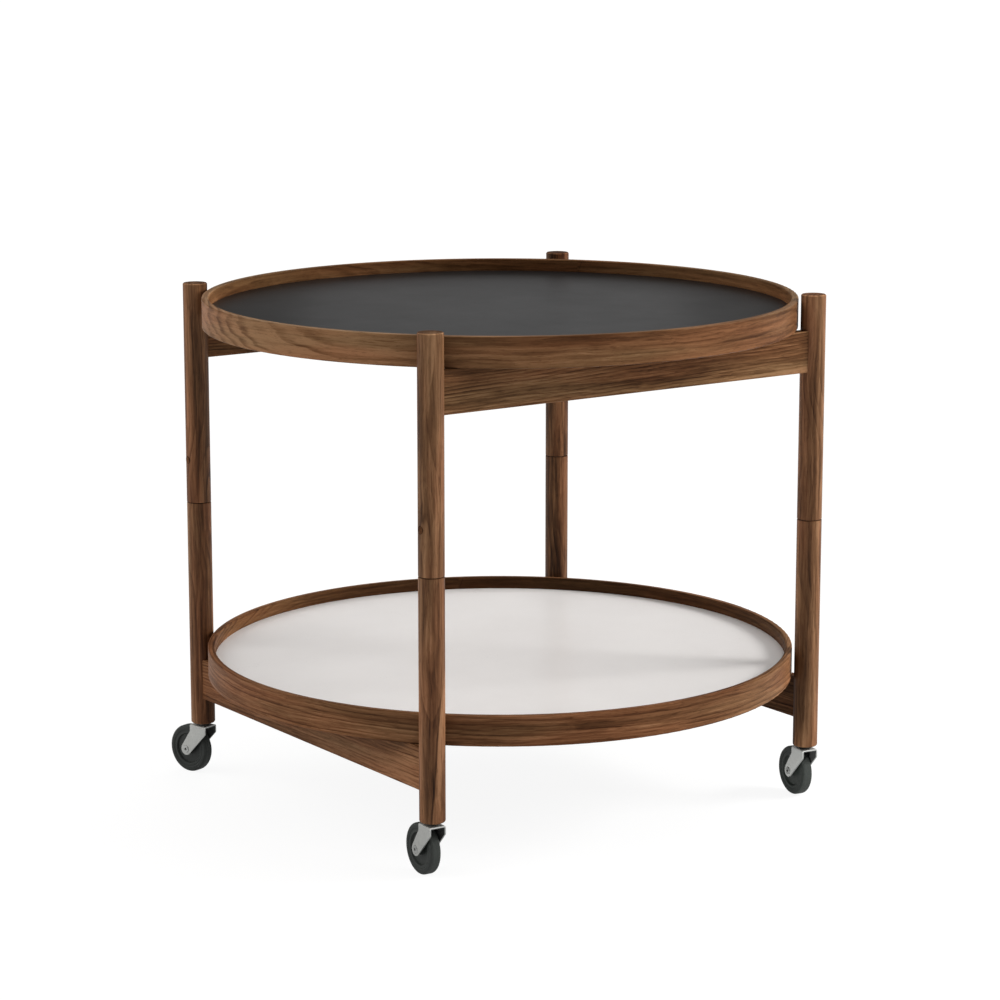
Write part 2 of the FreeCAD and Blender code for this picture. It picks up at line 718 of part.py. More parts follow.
def caster_fork(corner):
    """Folded sheet fork: a flat top plate and two cheeks that turn back to the axle."""
    name = "caster_%s_fork" % corner
    body = new_body(name)
    front, rear = -dim("fork_front"), dim("fork_rear")
    top = dim("fork_top")
    bend_front, bend_rear = dim("fork_bend_front"), dim("fork_bend_rear")
    trail, eye = dim("caster_trail"), dim("fork_eye_radius")
    width, gauge = dim("fork_width"), dim("fork_sheet")

    centre = (trail.value, axle_height.value)
    touch_front = tangent_point((front.value, bend_front.value), centre, eye.value, -1)
    touch_rear = tangent_point((rear.value, bend_rear.value), centre, eye.value, 1)
    angle_front = math.atan2(touch_front[1] - centre[1], touch_front[0] - centre[0])
    angle_rear = math.atan2(touch_rear[1] - centre[1], touch_rear[0] - centre[0])
    while angle_rear < angle_front:
        angle_rear += 2 * math.pi

    cheek = new_sketch(body, name + "_cheek", "YZ_Plane", z=-(width / 2))

    def line(a, b):
        return cheek.addGeometry(Part.LineSegment(
            FreeCAD.Vector(a[0], a[1], 0), FreeCAD.Vector(b[0], b[1], 0)), False)

    line((rear.value, top.value), (front.value, top.value))                      # 0 top edge
    line((front.value, top.value), (front.value, bend_front.value))              # 1 front edge
    line((front.value, bend_front.value), touch_front)                           # 2 front slope
    cheek.addGeometry(Part.ArcOfCircle(Part.Circle(
        FreeCAD.Vector(centre[0], centre[1], 0), FreeCAD.Vector(0, 0, 1), eye.value),
        angle_front, angle_rear), False)                                         # 3 eye
    line(touch_rear, (rear.value, bend_rear.value))                              # 4 rear slope
    line((rear.value, bend_rear.value), (rear.value, top.value))                 # 5 rear edge
    for a, pa, b, pb in ((0, 2, 1, 1), (1, 2, 2, 1), (4, 2, 5, 1), (5, 2, 0, 1)):
        cheek.addConstraint(Sketcher.Constraint("Coincident", a, pa, b, pb))
    cheek.addConstraint(Sketcher.Constraint("Tangent", 2, 2, 3, 1))
    cheek.addConstraint(Sketcher.Constraint("Tangent", 3, 2, 4, 1))
    index = cheek.addConstraint(Sketcher.Constraint("Radius", 3, eye.value))
    cheek.setExpression("Constraints[%d]" % index, eye.formula)
    pin_point(cheek, 3, 3, trail, axle_height)
    pin_point(cheek, 0, 1, rear, top)
    pin_point(cheek, 1, 1, front, top)
    pin_point(cheek, 2, 1, front, bend_front)
    pin_point(cheek, 5, 1, rear, bend_rear)
    block = pad(body, cheek, width)

    def along_x_at(edge, y, z):
        ends = [v.Point for v in edge.Vertexes]
        return (len(ends) == 2 and abs(ends[0].x - ends[1].x) > 1.0
                and all(abs(p.y - y) < 1e-4 and abs(p.z - z) < 1e-4 for p in ends))

    bent = round_edges(body, block, dim("fork_corner_round"),
                       lambda e: along_x_at(e, front.value, bend_front.value)
                       or along_x_at(e, rear.value, bend_rear.value))

    def top_fold(edge):
        ends = [v.Point for v in edge.Vertexes]
        return (len(ends) == 2 and abs(ends[0].y - ends[1].y) > 5.0
                and all(abs(p.z - top.value) < 1e-4 and abs(abs(p.x) - width.value / 2) < 1e-4
                        for p in ends))

    round_edges(body, bent, dim("fork_bend_round"), top_fold)

    inside = new_sketch(body, name + "_inside", "XZ_Plane", z=-(trail + eye + 20))
    gap = width / 2 - gauge
    outline(inside, [
        (-gap, ZERO),
        (gap, ZERO),
        (gap, top - gauge),
        (-gap, top - gauge),
    ])
    pocket(body, inside, trail + eye + dim("fork_front") + 60, True)

    eye_hole = new_sketch(body, name + "_eye_hole", "YZ_Plane", z=-(width / 2 + 1))
    ring(eye_hole, trail, axle_height, dim("axle_diameter") / 2 + dim("glue_gap"))
    pocket(body, eye_hole, width + 2, True)

    stem_hole = new_sketch(body, name + "_stem_hole", "XY_Plane", z=top + 1)
    ring(stem_hole, ZERO, ZERO, dim("stem_diameter") / 2 + dim("glue_gap"))
    pocket(body, stem_hole, gauge + 2, False)

    x, y = CORNERS[corner]
    place(body, x, y, ZERO, turned(VALUES["swivel_" + corner]))
    finished(body, name)


def on_axle(body, name):
    """Half section in the plane of the axle: first axis along the axle, second outwards."""
    return new_sketch(body, name, "XZ_Plane", y=axle_height, z=-dim("caster_trail"))


def caster_axle(corner):
    """Rivet through both cheeks, with low heads outside and a hollow in each end."""
    name = "caster_%s_axle" % corner
    body = new_body(name)
    shaft = dim("axle_diameter") / 2
    head = dim("axle_head_diameter") / 2
    cheek = dim("fork_width") / 2 + 0.02
    end = cheek + dim("axle_head_height")
    dimple = dim("axle_dimple_diameter") / 2
    floor = end - dim("axle_dimple_depth")
    profile = on_axle(body, name + "_profile")
    outline(profile, [
        (-floor, ZERO), (-floor, dimple), (-end, dimple), (-end, head - 0.4),
        (-cheek - 0.2, head), (-cheek, head), (-cheek, shaft),
        (cheek, shaft), (cheek, head), (cheek + 0.2, head), (end, head - 0.4),
        (end, dimple), (floor, dimple), (floor, ZERO),
    ])
    revolve(body, profile, "H_Axis")
    x, y = CORNERS[corner]
    place(body, x, y, ZERO, turned(VALUES["swivel_" + corner]))
    finished(body, name)


def caster_hub(corner):
    """Wheel centre with a boss on the axle, a thinner web and a rim under the tyre."""
    name = "caster_%s_hub" % corner
    body = new_body(name)
    bore = dim("axle_diameter") / 2 + dim("axle_running")
    boss, boss_half = dim("hub_boss_diameter") / 2, dim("hub_boss_width") / 2
    web_half, rim_half = dim("hub_web") / 2, dim("hub_width") / 2
    rim_in = dim("hub_rim_bore") / 2
    rim_out = dim("tyre_bore") / 2 - 0.02
    profile = on_axle(body, name + "_profile")
    outline(profile, [
        (-boss_half, bore), (boss_half, bore),
        (boss_half, boss - 0.6), (boss_half - 0.6, boss), (web_half, boss + 0.5),
        (web_half, rim_in - 0.9), (rim_half - 0.3, rim_in), (rim_half, rim_in + 0.3),
        (rim_half, rim_out - 0.3), (rim_half - 0.3, rim_out),
        (-rim_half + 0.3, rim_out), (-rim_half, rim_out - 0.3),
        (-rim_half, rim_in + 0.3), (-rim_half + 0.3, rim_in), (-web_half, rim_in - 0.9),
        (-web_half, boss + 0.5), (-boss_half + 0.6, boss), (-boss_half, boss - 0.6),
    ])
    revolve(body, profile, "H_Axis")
    x, y = CORNERS[corner]
    place(body, x, y, ZERO, turned(VALUES["swivel_" + corner]))
    finished(body, name)


def caster_tyre(corner):
    """Tyre ring with round shoulders and a slightly dished side."""
    name = "caster_%s_tyre" % corner
    body = new_body(name)
    half = dim("wheel_width") / 2
    inside, outside = dim("tyre_bore") / 2, dim("wheel_diameter") / 2
    profile = on_axle(body, name + "_profile")
    outline(profile, [
        (-half + 0.5, inside), (half - 0.5, inside), (half, inside + 1.4), (half, outside),
        (-half, outside), (-half, inside + 1.4),
    ])
    turn = revolve(body, profile, "H_Axis")
    round_edges(body, turn, dim("tyre_round"),
                lambda e: isinstance(e.Curve, Part.Circle)
                and abs(e.Curve.Radius - outside.value) < 1e-4)
    x, y = CORNERS[corner]
    place(body, x, y, ZERO, turned(VALUES["swivel_" + corner]))
    finished(body, name)


for corner in CORNERS:
    caster_sleeve(corner)
    caster_stem(corner)
    caster_fork(corner)
    caster_axle(corner)
    caster_hub(corner)
    caster_tyre(corner)

# ---------------------------------------------------------------------------
# Check every object, then write one file per sub-part
# ---------------------------------------------------------------------------

doc.recompute()
for obj in doc.Objects:
    if "Invalid" in obj.State or "Error" in obj.State:
        raise RuntimeError("%s did not rebuild: %s" % (obj.Name, obj.State))
for obj in NODES:
    shape = obj.Shape
    if shape.isNull() or not shape.isValid():
        raise RuntimeError(obj.Label + " has no valid shape")
    if len(shape.Solids) != SOLIDS[obj.Label]:
        raise RuntimeError("%s holds %d solids" % (obj.Label, len(shape.Solids)))

os.makedirs("parts", exist_ok=True)
for obj in NODES:
    obj.Shape.exportStep("parts/%s.step" % obj.Label)
    box = obj.Shape.BoundBox
    print("%-30s %9.1f mm3  x %7.2f %7.2f  y %7.2f %7.2f  z %7.2f %7.2f" % (
        obj.Label, obj.Shape.Volume, box.XMin, box.XMax, box.YMin, box.YMax, box.ZMin, box.ZMax))
print("%d sub-parts" % len(NODES))
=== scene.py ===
import json
import math

import bpy
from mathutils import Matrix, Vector

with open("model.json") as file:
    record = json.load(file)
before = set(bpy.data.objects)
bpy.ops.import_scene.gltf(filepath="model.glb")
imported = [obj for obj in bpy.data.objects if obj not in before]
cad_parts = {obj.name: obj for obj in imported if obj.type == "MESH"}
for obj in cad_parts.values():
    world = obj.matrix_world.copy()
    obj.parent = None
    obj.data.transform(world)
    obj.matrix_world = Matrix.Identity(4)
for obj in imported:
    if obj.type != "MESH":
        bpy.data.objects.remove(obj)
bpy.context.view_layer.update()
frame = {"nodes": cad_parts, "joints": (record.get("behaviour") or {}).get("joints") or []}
nodes = frame["nodes"]

LEG_X, LEG_Y = 229.5, 216.0
CORNERS = {
    "front_left": (-LEG_X, -LEG_Y),
    "front_right": (LEG_X, -LEG_Y),
    "back_left": (-LEG_X, LEG_Y),
    "back_right": (LEG_X, LEG_Y),
}


# ---------------------------------------------------------------- node helper

class Net:
    """One material's node tree. Lengths inside the trees are millimetres."""

    def __init__(self, name):
        self.mat = bpy.data.materials.new(name)
        self.mat.use_nodes = True
        self.tree = self.mat.node_tree
        self.tree.nodes.clear()
        self.out = self.tree.nodes.new("ShaderNodeOutputMaterial")
        self.bsdf = self.tree.nodes.new("ShaderNodeBsdfPrincipled")
        self.tree.links.new(self.bsdf.outputs["BSDF"], self.out.inputs["Surface"])
        self._coord = None

    def put(self, socket, value):
        if isinstance(value, bpy.types.NodeSocket):
            self.tree.links.new(value, socket)
        else:
            socket.default_value = value

    def shade(self, **values):
        names = {
            "color": "Base Color", "rough": "Roughness", "metal": "Metallic", "normal": "Normal",
            "spec": "Specular IOR Level", "coat": "Coat Weight", "coat_rough": "Coat Roughness",
            "aniso": "Anisotropic", "sheen": "Sheen Weight", "ior": "IOR",
        }
        for key, value in values.items():
            self.put(self.bsdf.inputs[names[key]], value)
        return self.mat

    def coord(self):
        if self._coord is None:
            self._coord = self.tree.nodes.new("ShaderNodeTexCoord")
        return self._coord

    def place(self):
        """Point in the part's own frame, in millimetres."""
        return self.vec("MULTIPLY", self.coord().outputs["Object"], (1000.0, 1000.0, 1000.0))

    def facing(self):
        return self.coord().outputs["Normal"]

    def math(self, op, a, b=None, c=None, clamp=False):
        n = self.tree.nodes.new("ShaderNodeMath")
        n.operation = op
        n.use_clamp = clamp
        self.put(n.inputs[0], a)
        if b is not None:
            self.put(n.inputs[1], b)
        if c is not None:
            self.put(n.inputs[2], c)
        return n.outputs[0]

    def vec(self, op, a, b=None):
        n = self.tree.nodes.new("ShaderNodeVectorMath")
        n.operation = op
        self.put(n.inputs[0], a)
        if b is not None:
            if op == "SCALE":
                self.put(n.inputs["Scale"], b)
            else:
                self.put(n.inputs[1], b)
        return n.outputs["Value"] if op in ("DOT_PRODUCT", "LENGTH", "DISTANCE") else n.outputs["Vector"]

    def split(self, v):
        n = self.tree.nodes.new("ShaderNodeSeparateXYZ")
        self.put(n.inputs[0], v)
        return n.outputs[0], n.outputs[1], n.outputs[2]

    def join(self, x, y, z):
        n = self.tree.nodes.new("ShaderNodeCombineXYZ")
        for s, v in zip(n.inputs, (x, y, z)):
            self.put(s, v)
        return n.outputs[0]

    def noise(self, v, size, detail=2.0, rough=0.5, distort=0.0):
        """Noise whose grains are about size millimetres along each axis."""
        n = self.tree.nodes.new("ShaderNodeTexNoise")
        n.noise_dimensions = "3D"
        size = size if hasattr(size, "__len__") else (size, size, size)
        self.put(n.inputs["Vector"], self.vec("DIVIDE", v, tuple(float(s) for s in size)))
        n.inputs["Scale"].default_value = 1.0
        n.inputs["Detail"].default_value = detail
        n.inputs["Roughness"].default_value = rough
        n.inputs["Distortion"].default_value = distort
        return n.outputs["Fac"]

    def cells(self, v, size, feature="F1", output="Distance"):
        n = self.tree.nodes.new("ShaderNodeTexVoronoi")
        n.feature = feature
        size = size if hasattr(size, "__len__") else (size, size, size)
        self.put(n.inputs["Vector"], self.vec("DIVIDE", v, tuple(float(s) for s in size)))
        n.inputs["Scale"].default_value = 1.0
        return n.outputs[output]

    def chance(self, value):
        n = self.tree.nodes.new("ShaderNodeTexWhiteNoise")
        n.noise_dimensions = "1D"
        self.put(n.inputs["W"], value)
        return n.outputs["Value"]

    def span(self, value, lo, hi, to_lo=0.0, to_hi=1.0, smooth=False):
        n = self.tree.nodes.new("ShaderNodeMapRange")
        n.interpolation_type = "SMOOTHSTEP" if smooth else "LINEAR"
        n.clamp = True
        for s, v in zip(n.inputs, (value, lo, hi, to_lo, to_hi)):
            self.put(s, v)
        return n.outputs[0]

    def ramp(self, value, stops, ease="LINEAR"):
        n = self.tree.nodes.new("ShaderNodeValToRGB")
        r = n.color_ramp
        r.interpolation = ease
        while len(r.elements) < len(stops):
            r.elements.new(0.5)
        for e, (at, colour) in zip(r.elements, stops):
            e.position = at
            e.color = (*colour, 1.0) if hasattr(colour, "__len__") else (colour, colour, colour, 1.0)
        self.put(n.inputs[0], value)
        return n.outputs["Color"]

    def mix(self, share, a, b, blend="MIX"):
        n = self.tree.nodes.new("ShaderNodeMix")
        n.data_type = "RGBA"
        n.blend_type = blend
        n.clamp_factor = True
        self.put(n.inputs["Factor"], share)
        for socket, v in ((n.inputs[6], a), (n.inputs[7], b)):
            self.put(socket, (*v, 1.0) if isinstance(v, tuple) and len(v) == 3 else v)
        return n.outputs[2]

    def dim(self, colour, factor):
        """A colour times a number from a socket."""
        return self.mix(1.0, colour, self.join(factor, factor, factor), "MULTIPLY")

    def bump(self, height, depth_mm, strength=1.0, normal=None):
        n = self.tree.nodes.new("ShaderNodeBump")
        n.inputs["Strength"].default_value = strength
        n.inputs["Distance"].default_value = depth_mm / 1000.0
        self.put(n.inputs["Height"], height)
        if normal is not None:
            self.put(n.inputs["Normal"], normal)
        return n.outputs["Normal"]


# ---------------------------------------------------------------- walnut

WALNUT = [
    (0.00, (0.0240, 0.0093, 0.0036)),
    (0.25, (0.0600, 0.0248, 0.0099)),
    (0.50, (0.1180, 0.0523, 0.0219)),
    (0.75, (0.1980, 0.0935, 0.0415)),
    (1.00, (0.3000, 0.1530, 0.0735)),
]


def walnut(name, grain, centre=(0.0, 0.0, 0.0), seed=0.0, pith=(62.0, 30.0), lean=(0.0, 0.0), ring=4.4,
           sway=7.0, lift=0.0, figure=0.42, streak=0.45, wobble=2.0, soft=0.0, wander=9.0, fine=1.0, dives=(), zones=(), bands=(), bold=None, joint=None, inner=None, top_edge_highlight=None, tint=None, rim=None, ior=1.12):
    """Solid walnut. u runs along the grain, v and w across it; the yearly rings lie round a pith line at (v, w) = pith
    that leans by so many millimetres per metre. grain is X, Y or Z, or O for a strip bent into a round rim.
    wobble is how far the rings waver, soft how far they blur, wander how far the fibres do,
    fine how strong the fine lines are. dives are (from u, to u, depth), where the rings run out
    through the face and make arches; zones are (from u, to u, tone), stretches made paler or darker, used to paint
    light and shade along a piece; bold is (from u, to u, how much stronger the rings are). bands are layers of paler
    wood with a dark line along them, or of darker wood, and wide ones paint shade or light down one side of a leg:
    (direction across, (u, place), (u, place), width, tone, line).
    inner is how much light the inside of a rim keeps at the back, the left and the right, as painted shade; crest the
    colour of a painted highlight on its top; rim is the radius at which a plug's dark edge begins. Slanting edges get a
    painted highlight, broken up like rubbed wear."""
    n = Net(name)
    p = n.place()
    x, y, z = n.split(p)
    cx, cy, cz = centre
    if grain == "Z":
        u, v, w = z, n.math("SUBTRACT", x, cx), n.math("SUBTRACT", y, cy)
    elif grain == "X":
        u, v, w = x, n.math("SUBTRACT", z, cz), n.math("SUBTRACT", y, cy)
    elif grain == "Y":
        u, v, w = y, n.math("SUBTRACT", z, cz), n.math("SUBTRACT", x, cx)
    else:
        a = math.radians(joint)
        # turned so that the strip's glued ends meet at the angle of the joint
        along = n.math("ADD", n.math("MULTIPLY", x, -math.cos(a)), n.math("MULTIPLY", y, -math.sin(a)))
        side = n.math("ADD", n.math("MULTIPLY", x, math.sin(a)), n.math("MULTIPLY", y, -math.cos(a)))
        u = n.math("MULTIPLY", n.math("ARCTAN2", side, along), 297.0)
        v = n.math("SUBTRACT", z, cz)
        w = n.math("SUBTRACT", n.vec("LENGTH", n.join(x, y, 0.0)), 300.0)
    q = n.join(n.math("ADD", u, 977.0 * seed), n.math("ADD", v, 61.0 * seed), n.math("ADD", w, -83.0 * seed))
    # the fibres wander a little to either side
    drift = n.math("SUBTRACT", n.noise(q, (95.0, 30.0, 30.0), 3.0, 0.55), 0.5)
    shift = n.math("SUBTRACT", n.noise(n.vec("ADD", q, (431.0, 77.0, 19.0)), (80.0, 30.0, 30.0), 3.0, 0.55), 0.5)
    q = n.vec("ADD", q, n.join(0.0, n.math("MULTIPLY", drift, wander), n.math("MULTIPLY", shift, wander)))

    # yearly rings, swaying slowly along the board
    slow = n.noise(q, (260.0, 46.0, 46.0), 2.0, 0.45)
    mid = n.noise(q, (58.0, 9.0, 9.0), 3.0, 0.5)
    dv = n.math("SUBTRACT", v, n.math("MULTIPLY_ADD", u, lean[0] / 1000.0, pith[0]))
    dw = n.math("SUBTRACT", w, n.math("MULTIPLY_ADD", u, lean[1] / 1000.0, pith[1]))
    far = n.vec("LENGTH", n.join(dv, dw, 0.0))
    far = n.math("MULTIPLY_ADD", n.math("SUBTRACT", slow, 0.5), 2.0 * sway, far)
    far = n.math("MULTIPLY_ADD", n.math("SUBTRACT", mid, 0.5), wobble, far)
    for start, stop, depth in dives:
        far = n.math("ADD", far, n.span(u, start, stop, depth, 0.0, smooth=True))
    year = n.math("DIVIDE", far, ring)
    part = n.math("FRACT", year)
    number = n.math("FLOOR", year)
    weight = n.span(n.chance(n.math("ADD", number, 17.3 * seed)), 0.0, 1.0, 0.15, 1.0)
    late = n.ramp(part, [(0.0, 0.02), (0.42, 0.16), (0.74, 0.62), (0.92, 1.0), (1.0, 0.06)], "EASE")
    if soft:
        blur = n.ramp(part, [(0.0, 0.20), (0.30, 0.05), (0.58, 0.55), (0.76, 0.95), (1.0, 0.22)], "EASE")
        late = n.math("ADD", n.math("MULTIPLY", late, 1.0 - soft), n.math("MULTIPLY", blur, soft))
    late = n.math("MULTIPLY", late, weight)
    late = n.math("MULTIPLY", late, n.span(n.noise(q, (85.0, 13.0, 13.0), 2.0, 0.5), 0.32, 0.66, 0.30, 1.0))

    # broad colour streaks, dark flecks, fibre and open pores
    broad = n.span(n.noise(q, (230.0, 12.0, 12.0), 3.0, 0.6), 0.30, 0.70)
    thin = n.span(n.noise(q, (105.0, 2.3, 2.3), 2.0, 0.55), 0.3, 0.7)
    fleck = n.span(n.noise(q, (34.0, 1.25, 1.25), 2.0, 0.55), 0.565, 0.70)
    fleck = n.math("MULTIPLY", fleck, n.span(n.noise(q, (120.0, 20.0, 20.0), 1.0, 0.5), 0.38, 0.60))
    fibre = n.noise(q, (30.0, 0.8, 0.8), 2.0, 0.6)
    pores = n.span(n.noise(q, (9.0, 0.42, 0.42), 1.0, 0.5), 0.60, 0.72, smooth=True)

    value = n.math("MULTIPLY_ADD", n.math("SUBTRACT", broad, 0.5), streak, 0.52 + lift)
    value = n.math("MULTIPLY_ADD", n.math("SUBTRACT", thin, 0.5), 0.34 * fine, value)
    value = n.math("MULTIPLY_ADD", n.math("SUBTRACT", fibre, 0.5), 0.44 * fine, value)
    if bold:
        start, stop, more = bold
        band = n.math("MULTIPLY", n.span(u, start - 45.0, start + 45.0, smooth=True), n.span(u, stop - 45.0, stop + 45.0, 1.0, 0.0, smooth=True))
        figure = n.math("MULTIPLY_ADD", band, figure * more, figure)
    value = n.math("MULTIPLY_ADD", n.math("SUBTRACT", 0.30, late), figure, value)
    value = n.math("MULTIPLY_ADD", fleck, -0.24, value)
    for start, stop, tone in zones:
        band = n.math("MULTIPLY", n.span(u, start - 45.0, start + 45.0, smooth=True), n.span(u, stop - 45.0, stop + 45.0, 1.0, 0.0, smooth=True))
        value = n.math("MULTIPLY_ADD", band, tone, value)
    for (dv, dw), (u0, s0), (u1, s1), width, tone, line in bands:
        slope = (s1 - s0) / (u1 - u0)
        edge = n.math("MULTIPLY_ADD", n.math("SUBTRACT", u, u0), slope, s0)
        edge = n.math("MULTIPLY_ADD", n.math("SUBTRACT", mid, 0.5), 2.4, edge)
        off = n.math("SUBTRACT", n.math("ADD", n.math("MULTIPLY", v, dv), n.math("MULTIPLY", w, dw)), edge)
        reach = n.math("MULTIPLY", n.span(u, u0 - 30.0, u0, smooth=True), n.span(u, u1, u1 + 40.0, 1.0, 0.0, smooth=True))
        pale = n.math("MULTIPLY", n.span(off, 0.0, 0.9, smooth=True), n.span(off, 0.35 * width, width, 1.0, 0.0, smooth=True))
        dark = n.math("MULTIPLY", n.span(off, -2.2, -0.5, smooth=True), n.span(off, -0.4, 0.4, 1.0, 0.0, smooth=True))
        value = n.math("MULTIPLY_ADD", n.math("MULTIPLY", pale, reach), tone, value)
        value = n.math("MULTIPLY_ADD", n.math("MULTIPLY", dark, reach), -line, value)
    colour = n.ramp(value, WALNUT)
    # heartwood leans to olive-grey in places, to red-brown in others
    warm = n.span(n.noise(q, (210.0, 22.0, 22.0), 2.0, 0.5), 0.36, 0.64)
    colour = n.mix(warm, n.mix(1.0, colour, (0.95, 1.00, 1.03), "MULTIPLY"), n.mix(1.0, colour, (1.07, 0.95, 0.95), "MULTIPLY"))
    colour = n.dim(colour, n.span(pores, 0.0, 1.0, 1.0, 0.62))
    # end grain drinks more oil and looks darker
    nx, ny, nz = n.split(n.facing())
    end = {"Z": nz, "X": nx, "Y": ny}.get(grain)
    if end is not None:
        end = n.span(n.math("ABSOLUTE", end), 0.75, 0.97, smooth=True)
        colour = n.dim(colour, n.span(end, 0.0, 1.0, 1.0, 0.66))
    # painted highlight: edges that slant between the faces are made paler where they would catch the light, broken up
    # by noise like rubbed wear; on the legs only at their top chamfer
    slant = n.math("MULTIPLY", n.span(n.math("ABSOLUTE", nz), 0.22, 0.50, smooth=True), n.span(n.math("ABSOLUTE", nz), 0.80, 0.95, 1.0, 0.0, smooth=True))
    edge_highlight_and_wear = n.math("MULTIPLY", slant, n.span(n.noise(q, (24.0, 5.0, 5.0), 2.0, 0.5), 0.30, 0.55, 0.35, 1.0))
    if grain == "Z":
        edge_highlight_and_wear = n.math("MULTIPLY", edge_highlight_and_wear, n.span(z, 500.0, 505.0))
        colour = n.mix(edge_highlight_and_wear, colour, n.mix(1.0, colour, (1.70, 1.80, 1.90), "MULTIPLY"))
    elif grain != "O" and not rim:
        colour = n.mix(edge_highlight_and_wear, colour, n.mix(1.0, colour, (1.35, 1.42, 1.48), "MULTIPLY"))
    if grain == "O":
        # painted shade: the inside is darker, most of all at the back, less at the sides, and tinted warmer
        back, left, right = inner
        aside = n.vec("DOT_PRODUCT", n.vec("NORMALIZE", n.join(x, y, 0.0)), (-0.818, 0.575, 0.0))
        keep = n.math("MULTIPLY_ADD", n.math("POWER", n.math("MAXIMUM", aside, 0.0), 4.0), left - back, back)
        keep = n.math("MULTIPLY_ADD", n.math("POWER", n.math("MAXIMUM", n.math("MULTIPLY", aside, -1.0), 0.0), 2.0), right - back, keep)
        outer = n.span(w, -6.2, -4.6, 0.0, 1.0, smooth=True)
        colour = n.dim(colour, n.math("MAXIMUM", keep, outer))
        colour = n.mix(outer, n.mix(1.0, colour, (1.0, 0.94, 0.84), "MULTIPLY"), colour)
        if top_edge_highlight:
            # painted highlight: the upward-facing top of the rim is made paler
            colour = n.mix(n.span(nz, 0.35, 0.9, smooth=True), colour, n.mix(1.0, colour, top_edge_highlight, "MULTIPLY"))
        # glued scarf of the strip's ends
        edge = n.math("ABSOLUTE", n.math("MULTIPLY_ADD", v, 0.35, u))
        colour = n.dim(colour, n.span(n.math("ABSOLUTE", n.math("SUBTRACT", edge, 297.0 * math.pi)), 0.10, 0.42, 0.35, 1.0))
    if rim:
        away = n.vec("LENGTH", n.join(0.0, n.math("SUBTRACT", y, cy), n.math("SUBTRACT", z, cz)))
        colour = n.dim(colour, n.span(away, rim, rim + 0.7, 1.0, 0.30, smooth=True))
    if tint:
        colour = n.mix(1.0, colour, tint, "MULTIPLY")
    rough = n.math("MULTIPLY_ADD", fibre, 0.14, 0.40)
    if end is not None:
        rough = n.math("MULTIPLY_ADD", end, 0.25, rough)
    rough = n.math("MULTIPLY_ADD", pores, 0.16, rough)
    height = n.math("MULTIPLY_ADD", pores, -1.0, n.math("MULTIPLY", fibre, 0.45))
    height = n.math("MULTIPLY_ADD", late, 0.25, height)
    return n.shade(color=colour, rough=rough, normal=n.bump(height, 0.07, 0.6), ior=ior)


# ---------------------------------------------------------------- laminate, board, metal, plastic, rubber

def laminate(name, dark, light, spec, rough, seed):
    n = Net(name)
    p = n.vec("ADD", n.place(), (131.0 * seed, 57.0 * seed, 19.0 * seed))
    cloud = n.noise(p, 120.0, 3.0, 0.55)
    speck = n.noise(p, 0.9, 1.0, 0.5)
    grain = n.noise(p, 0.55, 2.0, 0.6)
    rub = n.noise(p, 55.0, 3.0, 0.6)
    tone = n.math("MULTIPLY_ADD", n.math("SUBTRACT", speck, 0.5), 0.35, cloud)
    colour = n.mix(n.span(tone, 0.3, 0.7), dark, light)
    r = n.math("MULTIPLY_ADD", n.math("SUBTRACT", rub, 0.5), 0.06, rough)
    r = n.math("MULTIPLY_ADD", n.math("SUBTRACT", speck, 0.5), 0.08, r)
    return n.shade(color=colour, rough=r, normal=n.bump(grain, 0.02, 0.5), spec=spec)


def board(name, dark, light, seed):
    n = Net(name)
    p = n.vec("ADD", n.place(), (31.0 * seed, 17.0 * seed, 9.0 * seed))
    chips = n.cells(p, 0.9, output="Color")
    c, _, _ = n.split(chips)
    fibre = n.noise(p, (3.0, 3.0, 0.5), 3.0, 0.6)
    value = n.math("MULTIPLY_ADD", c, 0.45, n.math("MULTIPLY", fibre, 0.55))
    return n.shade(color=n.mix(value, dark, light), rough=n.span(fibre, 0.3, 0.7, 0.75, 0.9), normal=n.bump(fibre, 0.05, 0.5), spec=0.25)


def metal(name, dark, light, grain, rough, seed, dirt=0.0):
    n = Net(name)
    p = n.vec("ADD", n.place(), (23.0 * seed, 41.0 * seed, 13.0 * seed))
    drawn = n.noise(p, grain, 2.0, 0.6)
    patch = n.noise(p, 5.5, 3.0, 0.55)
    scratch = n.span(n.noise(p, (9.0, 0.25, 0.9), 1.0, 0.5, 0.6), 0.60, 0.70)
    value = n.math("MULTIPLY_ADD", drawn, 0.5, n.math("MULTIPLY", patch, 0.5))
    colour = n.mix(n.span(value, 0.32, 0.68), dark, light)
    if dirt:
        colour = n.dim(colour, n.span(n.noise(p, 3.0, 3.0, 0.6), 0.5, 0.75, 1.0, 1.0 - dirt))
    r = n.math("MULTIPLY_ADD", n.math("SUBTRACT", patch, 0.5), 0.22, rough)
    r = n.math("MULTIPLY_ADD", scratch, 0.08, r)
    height = n.math("MULTIPLY_ADD", scratch, -0.6, drawn)
    return n.shade(color=colour, rough=r, metal=1.0, normal=n.bump(height, 0.012, 0.5))


